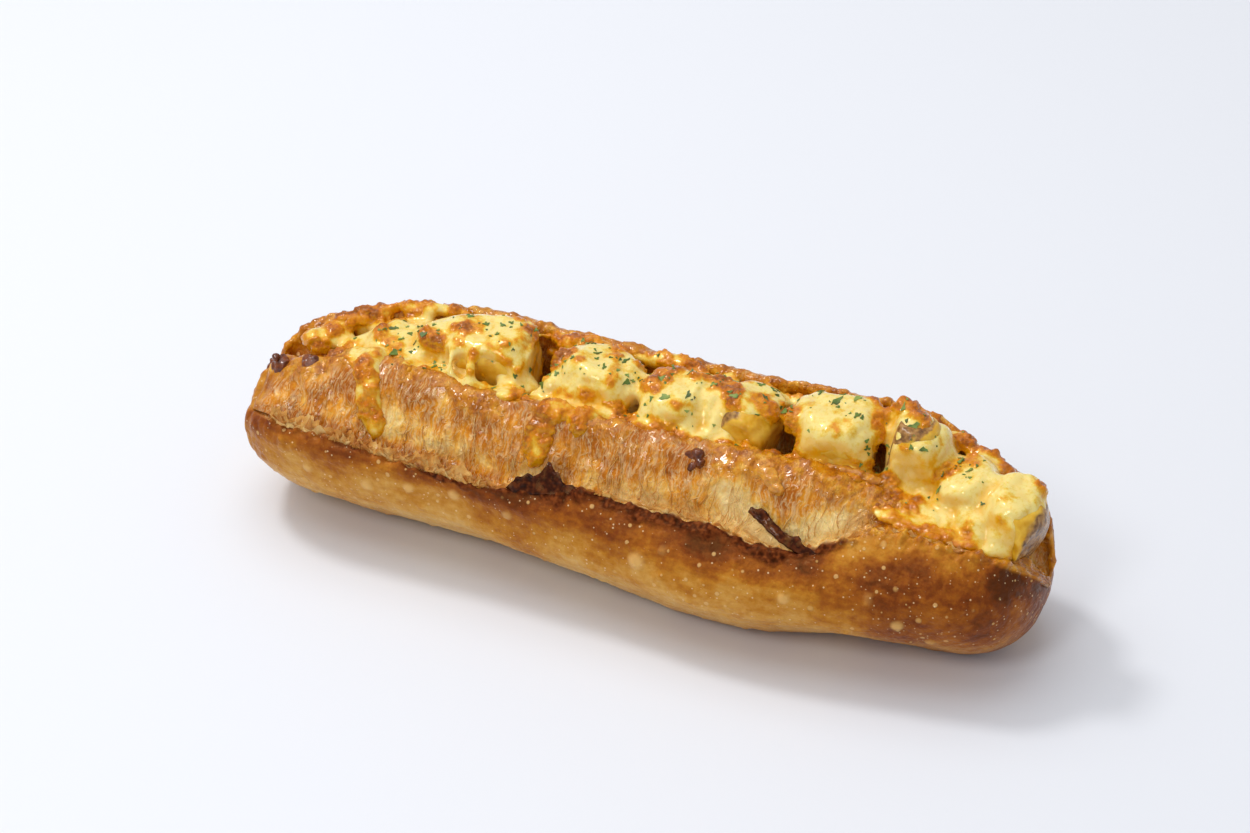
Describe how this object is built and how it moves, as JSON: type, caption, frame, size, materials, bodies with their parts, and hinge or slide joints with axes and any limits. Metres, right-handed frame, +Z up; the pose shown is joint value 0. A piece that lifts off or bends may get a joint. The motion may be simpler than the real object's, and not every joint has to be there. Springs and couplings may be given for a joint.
{
  "type": "filled baguette",
  "caption": "Short crusty baguette split along its top, baked with chunks of potato under melted browned cheese and sprinkled with dried parsley",
  "frame": {"origin": "bottom centre of the bounding box, on the surface that the loaf rests on", "axes": "+X runs along the loaf from the left end to the right end, -Y is the side with the raised ear of crust, +Z is up"},
  "size_m": [0.1994, 0.061, 0.0566],
  "materials": {
    "crust": "matte",
    "potato": "satin",
    "cheese": "satin",
    "burnt_cheese": "gloss",
    "parsley": "matte"
  },
  "bodies": {
    "root": {"bread": "crust", "potato_chunk_1": "potato", "potato_chunk_2": "potato", "potato_chunk_3": "potato", "potato_chunk_4": "potato", "potato_chunk_5": "potato", "potato_chunk_6": "potato", "potato_chunk_7": "potato", "potato_chunk_8": "potato", "potato_chunk_9": "potato", "melted_cheese": "cheese", "burnt_cheese_1": "burnt_cheese", "burnt_cheese_2": "burnt_cheese", "burnt_cheese_3": "burnt_cheese", "parsley_flake_01": "parsley", "parsley_flake_02": "parsley", "parsley_flake_03": "parsley", "parsley_flake_04": "parsley", "parsley_flake_05": "parsley", "parsley_flake_06": "parsley", "parsley_flake_07": "parsley", "parsley_flake_08": "parsley", "parsley_flake_09": "parsley", "parsley_flake_10": "parsley", "parsley_flake_11": "parsley", "parsley_flake_12": "parsley", "parsley_flake_13": "parsley", "parsley_flake_14": "parsley", "parsley_flake_15": "parsley", "parsley_flake_16": "parsley", "parsley_flake_17": "parsley", "parsley_flake_18": "parsley", "parsley_flake_19": "parsley", "parsley_flake_20": "parsley", "parsley_flake_21": "parsley", "parsley_flake_22": "parsley", "parsley_flake_23": "parsley", "parsley_flake_24": "parsley", "parsley_flake_25": "parsley", "parsley_flake_26": "parsley", "parsley_flake_27": "parsley", "parsley_flake_28": "parsley", "parsley_flake_29": "parsley", "parsley_flake_30": "parsley", "parsley_flake_31": "parsley", "parsley_flake_32": "parsley", "parsley_flake_33": "parsley", "parsley_flake_34": "parsley", "parsley_flake_35": "parsley", "parsley_flake_36": "parsley", "parsley_flake_37": "parsley", "parsley_flake_38": "parsley", "parsley_flake_39": "parsley", "parsley_flake_40": "parsley", "parsley_flake_41": "parsley", "parsley_flake_42": "parsley", "parsley_flake_43": "parsley", "parsley_flake_44": "parsley"}
  },
  "joints": []
}
